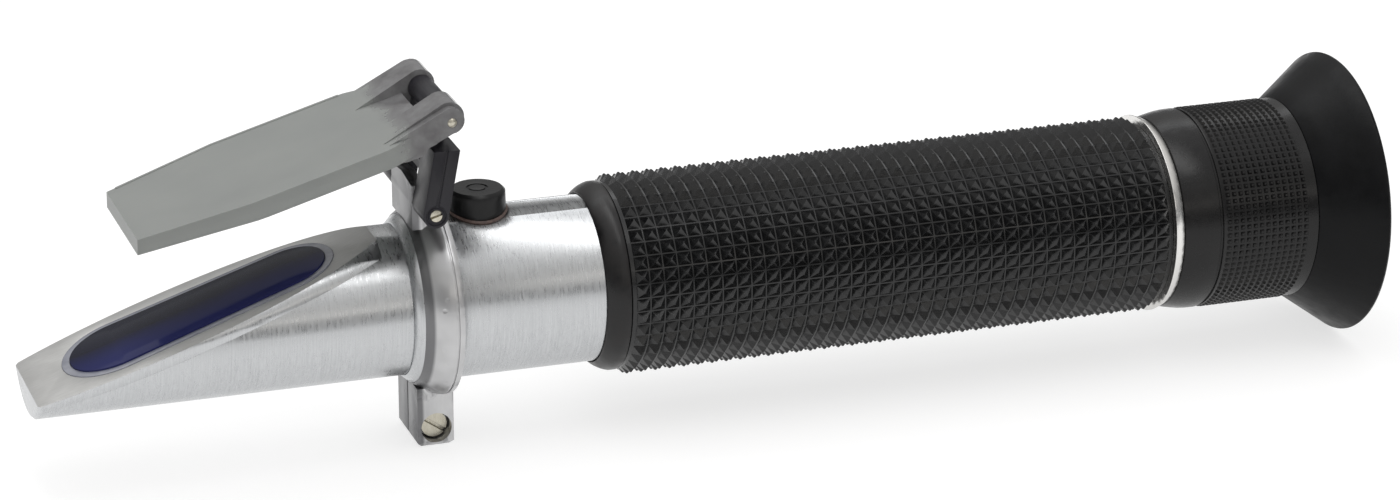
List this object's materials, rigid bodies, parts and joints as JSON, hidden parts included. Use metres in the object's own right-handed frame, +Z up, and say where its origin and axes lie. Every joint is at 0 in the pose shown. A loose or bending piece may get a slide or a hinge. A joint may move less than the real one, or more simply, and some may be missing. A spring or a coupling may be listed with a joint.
{
  "type": "handheld refractometer",
  "caption": "Handheld refractometer: slanted prism window under a hinged cover plate, metal tube with rubber grip, turning focus ring and soft eyecup.",
  "frame": {"origin": "centre of the eyepiece bore's mouth, on the optical axis", "axes": "+X along the optical axis out of the eyepiece towards the eye, -X towards the nose, +Z up through the cover plate's hinge"},
  "size_m": [0.2007, 0.0424, 0.054],
  "materials": {
    "satin_aluminium": "fine turned satin",
    "face_metal": "matt",
    "seal_lip": "pale translucent",
    "prism_glass": "polished, dark blue",
    "dark_metal": "matt black",
    "cast_zinc": "rough die cast",
    "screw_brass": "dull pale brass",
    "bush_brown": "dull",
    "black_satin": "satin",
    "grip_rubber": "moulded pyramids",
    "bright_metal": "bright turned",
    "soft_black": "matt",
    "lens_glass": "polished",
    "link_black": "satin moulded",
    "frosted_plastic": "frosted, smoky",
    "cap_rubber": "satin",
    "focus_black": "satin, fine grid"
  },
  "bodies": {
    "root": {"front_tube": "satin_aluminium", "prism_frame": "face_metal", "prism_seal": "seal_lip", "prism": "prism_glass", "prism_cradle": "dark_metal", "main_tube": "satin_aluminium", "hinge_collar": "cast_zinc", "clamp_screw": "screw_brass", "calibration_bush": "bush_brown", "grip_ring": "black_satin", "grip_sleeve": "grip_rubber", "tube_end_ring": "bright_metal", "guide_pin": "bright_metal", "o_ring": "soft_black", "optical_sleeve": "dark_metal", "bimetal_strip": "bright_metal", "compensator_post": "dark_metal", "objective_cell": "dark_metal", "objective_lens": "lens_glass", "reticle": "lens_glass", "reticle_retainer": "dark_metal"},
    "link": {"hinge_link": "link_black", "link_pin": "screw_brass"},
    "plate": {"daylight_plate": "frosted_plastic", "plate_pin": "screw_brass"},
    "cap": {"calibration_cap": "cap_rubber"},
    "adjuster": {"calibration_screw": "screw_brass"},
    "eyepiece": {"eyepiece_barrel": "dark_metal", "field_lens": "lens_glass", "lens_spacer": "dark_metal", "eye_lens": "lens_glass", "eye_lens_retainer": "dark_metal"},
    "focus": {"focus_ring": "focus_black", "eyecup": "soft_black"}
  },
  "joints": [
    {"name": "link_pivot", "type": "hinge", "parent": "root", "child": "link", "pos_m": [-0.1352, 0, 0.01623], "axis": [0, -1, 0], "range_deg": [-12, 120.99]},
    {"name": "plate_pivot", "type": "hinge", "parent": "link", "child": "plate", "pos_m": [-0.13263, 0, 0.02972], "axis": [0, -1, 0], "range_deg": [-122, 12.5]},
    {"name": "cap_pull", "type": "slide", "parent": "root", "child": "cap", "axis": [0, 0, 1], "range_m": [0, 0.008]},
    {"name": "calibration_turn", "type": "hinge", "parent": "root", "child": "adjuster", "pos_m": [-0.126, 0, 0], "axis": [0, 0, 1], "range_deg": [-180, 180]},
    {"name": "focus_travel", "type": "slide", "parent": "root", "child": "eyepiece", "axis": [1, 0, 0], "range_m": [0, 0.0036]},
    {"name": "focus_turn", "type": "hinge", "parent": "eyepiece", "child": "focus", "pos_m": [0, 0, 0], "axis": [1, 0, 0], "range_deg": [0, 242]}
  ],
  "couplings": [
    {"joint": "plate_pivot", "follows": "link_pivot", "ratio": -0.97627},
    {"joint": "focus_turn", "follows": "focus_travel", "rad_per_m": 1163.6}
  ]
}
